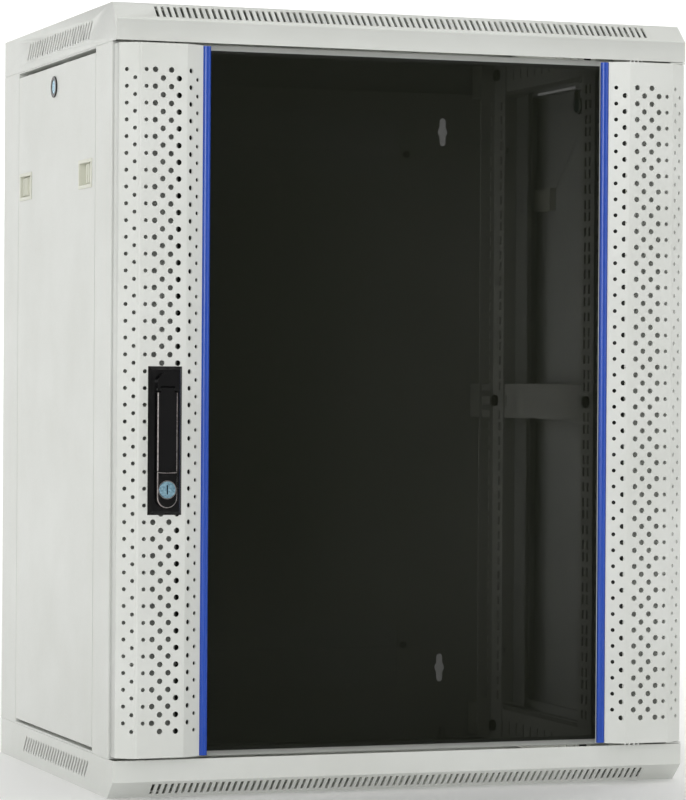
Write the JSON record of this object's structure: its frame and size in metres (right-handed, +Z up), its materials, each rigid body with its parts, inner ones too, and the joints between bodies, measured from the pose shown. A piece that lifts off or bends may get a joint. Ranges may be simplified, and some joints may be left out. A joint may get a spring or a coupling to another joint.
{
  "type": "network server rack cabinet",
  "caption": "Wall-mounted rack cabinet with vented covers, side panels that tilt out, mounting rails and a glazed door between perforated stiles, for 19 inch network equipment.",
  "frame": {"origin": "bottom centre of the cabinet's box, door closed", "axes": "+X to the right seen from the door, +Y towards the wall, +Z up"},
  "size_m": [0.6028, 0.4739, 0.77],
  "materials": {
    "powder_coat": "light grey powder coat with fine orange peel, semi-matt",
    "inner_coat": "light grey powder coat, semi-matt",
    "black_screw": "black oxide, satin",
    "black_plastic": "fine-grained black moulding",
    "lock_metal": "polished nickel plating",
    "zinc_steel": "bright zinc plating",
    "white_plastic": "light grey moulding",
    "tinted_glass": "toughened float glass, dark grey tint",
    "blue_trim": "glossy blue extrusion",
    "black_rubber": "soft black strip"
  },
  "bodies": {
    "cabinet": {"roof_cover": "powder_coat", "floor_cover": "powder_coat", "side_frame_left": "powder_coat", "side_frame_right": "powder_coat", "front_beam_top": "powder_coat", "front_beam_bottom": "powder_coat", "rear_panel": "inner_coat", "cable_plate_upper": "powder_coat", "cable_plate_lower": "powder_coat", "cable_plate_screws": "black_screw", "rear_panel_screws": "black_screw", "depth_beam_top_left": "inner_coat", "depth_beam_top_right": "inner_coat", "depth_beam_bottom_left": "inner_coat", "depth_beam_bottom_right": "inner_coat", "mid_bar_left": "inner_coat", "mid_bar_right": "inner_coat", "front_rail_left": "inner_coat", "front_rail_right": "inner_coat", "rear_rail_left": "inner_coat", "rear_rail_right": "inner_coat", "rail_screws": "black_screw", "lower_hinge_pin": "zinc_steel", "hinge_bracket_top": "powder_coat", "hinge_bracket_bottom": "powder_coat", "earth_stud": "zinc_steel"},
    "door": {"door_stile_left": "powder_coat", "door_stile_right": "powder_coat", "door_glass": "tinted_glass", "trim_strip_left": "blue_trim", "trim_strip_right": "blue_trim", "glass_seal_left": "black_rubber", "glass_seal_right": "black_rubber", "handle_plate": "black_plastic"},
    "lever_hub": {"lever_hub": "black_plastic", "lever_pin": "zinc_steel", "latch_cam": "zinc_steel", "cam_nut": "zinc_steel"},
    "lever": {"handle_lever": "black_plastic"},
    "key_plug": {"key_cylinder": "lock_metal"},
    "hinge_pin": {"upper_hinge_pin": "zinc_steel"},
    "panel_left": {"side_panel_left": "powder_coat", "side_lock_left": "black_plastic", "latch_case_left_front": "white_plastic", "latch_case_left_rear": "white_plastic"},
    "plug_left": {"side_plug_left": "lock_metal", "side_cam_left": "zinc_steel"},
    "slider_left_front": {"latch_slider_left_front": "white_plastic"},
    "slider_left_rear": {"latch_slider_left_rear": "white_plastic"},
    "panel_right": {"side_panel_right": "powder_coat", "side_lock_right": "black_plastic", "latch_case_right_front": "white_plastic", "latch_case_right_rear": "white_plastic"},
    "plug_right": {"side_plug_right": "lock_metal", "side_cam_right": "zinc_steel"},
    "slider_right_front": {"latch_slider_right_front": "white_plastic"},
    "slider_right_rear": {"latch_slider_right_rear": "white_plastic"}
  },
  "joints": [
    {"name": "door_swing", "type": "hinge", "parent": "cabinet", "child": "door", "pos_m": [0.2915, -0.20825, 0.385], "axis": [0, 0, 1], "range_deg": [0, 150]},
    {"name": "lever_turn", "type": "hinge", "parent": "door", "child": "lever_hub", "pos_m": [-0.2537, -0.23, 0.4023], "axis": [0, -1, 0], "range_deg": [0, 90]},
    {"name": "lever_lift", "type": "hinge", "parent": "lever_hub", "child": "lever", "pos_m": [-0.2537, -0.234, 0.3959], "axis": [-1, 0, 0], "range_deg": [0, 25]},
    {"name": "key_turn", "type": "hinge", "parent": "door", "child": "key_plug", "pos_m": [-0.2537, -0.225, 0.2996], "axis": [0, -1, 0], "range_deg": [0, 90]},
    {"name": "hinge_pin_pull", "type": "slide", "parent": "door", "child": "hinge_pin", "axis": [0, 0, -1], "range_m": [0, 0.005], "stiffness_N_per_m": 400, "springref_m": -0.01},
    {"name": "panel_tilt_left", "type": "hinge", "parent": "cabinet", "child": "panel_left", "pos_m": [-0.29, 0.01825, 0.043], "axis": [0, -1, 0], "range_deg": [0, 15]},
    {"name": "side_lock_turn_left", "type": "hinge", "parent": "panel_left", "child": "plug_left", "pos_m": [-0.3, 0.02275, 0.705], "axis": [-1, 0, 0], "range_deg": [0, 90]},
    {"name": "latch_pull_left_front", "type": "slide", "parent": "panel_left", "child": "slider_left_front", "axis": [0, 1, 0], "range_m": [0, 0.012], "stiffness_N_per_m": 200, "springref_m": -0.01},
    {"name": "latch_pull_left_rear", "type": "slide", "parent": "panel_left", "child": "slider_left_rear", "axis": [0, -1, 0], "range_m": [0, 0.012], "stiffness_N_per_m": 200, "springref_m": -0.01},
    {"name": "panel_tilt_right", "type": "hinge", "parent": "cabinet", "child": "panel_right", "pos_m": [0.29, 0.01825, 0.043], "axis": [0, 1, 0], "range_deg": [0, 15]},
    {"name": "side_lock_turn_right", "type": "hinge", "parent": "panel_right", "child": "plug_right", "pos_m": [0.3, 0.02275, 0.705], "axis": [1, 0, 0], "range_deg": [0, 90]},
    {"name": "latch_pull_right_front", "type": "slide", "parent": "panel_right", "child": "slider_right_front", "axis": [0, 1, 0], "range_m": [0, 0.012], "stiffness_N_per_m": 200, "springref_m": -0.01},
    {"name": "latch_pull_right_rear", "type": "slide", "parent": "panel_right", "child": "slider_right_rear", "axis": [0, -1, 0], "range_m": [0, 0.012], "stiffness_N_per_m": 200, "springref_m": -0.01}
  ]
}
